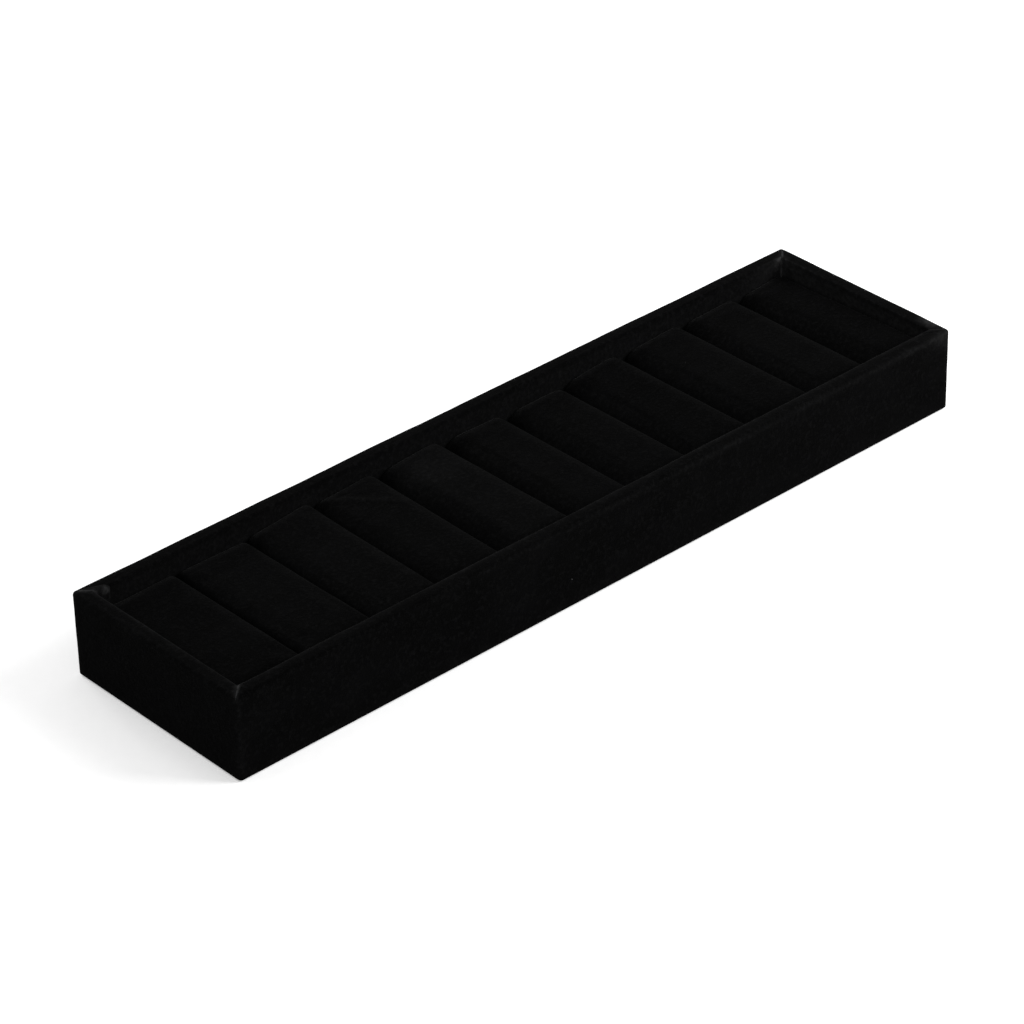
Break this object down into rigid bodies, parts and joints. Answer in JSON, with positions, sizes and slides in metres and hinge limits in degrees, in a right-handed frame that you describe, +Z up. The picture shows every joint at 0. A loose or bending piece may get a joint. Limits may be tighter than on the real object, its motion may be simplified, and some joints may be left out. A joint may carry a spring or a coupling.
{
  "type": "jewelry tray",
  "caption": "Long, low open tray covered in black velvet, with a row of lift-out velvet pads across it; rings and bracelets stand in the slots between the pads.",
  "frame": {"origin": "on the surface that the tray stands on, under the middle of its outline", "axes": "+X along the tray, towards the end that is on the right in the picture; +Y from the front long wall to the back one; +Z up"},
  "size_m": [0.3504, 0.09, 0.035],
  "materials": {
    "velvet": "short black velvet pile, matt face on, with a grey sheen along edges and lint",
    "board": "raw fibreboard",
    "foam": "open-cell black foam",
    "underside_felt": "thin black felt"
  },
  "bodies": {
    "tray": {"base_board": "board", "front_wall_board": "board", "back_wall_board": "board", "left_end_board": "board", "right_end_board": "board", "velvet_wrap": "velvet", "floor_lining": "velvet", "bottom_sheet": "underside_felt"},
    "pad_01": {"pad_foam_01": "foam", "pad_cover_01": "velvet"},
    "pad_02": {"pad_foam_02": "foam", "pad_cover_02": "velvet"},
    "pad_03": {"pad_foam_03": "foam", "pad_cover_03": "velvet"},
    "pad_04": {"pad_foam_04": "foam", "pad_cover_04": "velvet"},
    "pad_05": {"pad_foam_05": "foam", "pad_cover_05": "velvet"},
    "pad_06": {"pad_foam_06": "foam", "pad_cover_06": "velvet"},
    "pad_07": {"pad_foam_07": "foam", "pad_cover_07": "velvet"},
    "pad_08": {"pad_foam_08": "foam", "pad_cover_08": "velvet"},
    "pad_09": {"pad_foam_09": "foam", "pad_cover_09": "velvet"},
    "pad_10": {"pad_foam_10": "foam", "pad_cover_10": "velvet"},
    "pad_11": {"pad_foam_11": "foam", "pad_cover_11": "velvet"}
  },
  "joints": [
    {"name": "pad_01_lift", "type": "slide", "parent": "tray", "child": "pad_01", "axis": [0, 0, 1], "range_m": [0, 0.04]},
    {"name": "pad_02_lift", "type": "slide", "parent": "tray", "child": "pad_02", "axis": [0, 0, 1], "range_m": [0, 0.04]},
    {"name": "pad_03_lift", "type": "slide", "parent": "tray", "child": "pad_03", "axis": [0, 0, 1], "range_m": [0, 0.04]},
    {"name": "pad_04_lift", "type": "slide", "parent": "tray", "child": "pad_04", "axis": [0, 0, 1], "range_m": [0, 0.04]},
    {"name": "pad_05_lift", "type": "slide", "parent": "tray", "child": "pad_05", "axis": [0, 0, 1], "range_m": [0, 0.04]},
    {"name": "pad_06_lift", "type": "slide", "parent": "tray", "child": "pad_06", "axis": [0, 0, 1], "range_m": [0, 0.04]},
    {"name": "pad_07_lift", "type": "slide", "parent": "tray", "child": "pad_07", "axis": [0, 0, 1], "range_m": [0, 0.04]},
    {"name": "pad_08_lift", "type": "slide", "parent": "tray", "child": "pad_08", "axis": [0, 0, 1], "range_m": [0, 0.04]},
    {"name": "pad_09_lift", "type": "slide", "parent": "tray", "child": "pad_09", "axis": [0, 0, 1], "range_m": [0, 0.04]},
    {"name": "pad_10_lift", "type": "slide", "parent": "tray", "child": "pad_10", "axis": [0, 0, 1], "range_m": [0, 0.04]},
    {"name": "pad_11_lift", "type": "slide", "parent": "tray", "child": "pad_11", "axis": [0, 0, 1], "range_m": [0, 0.04]}
  ]
}
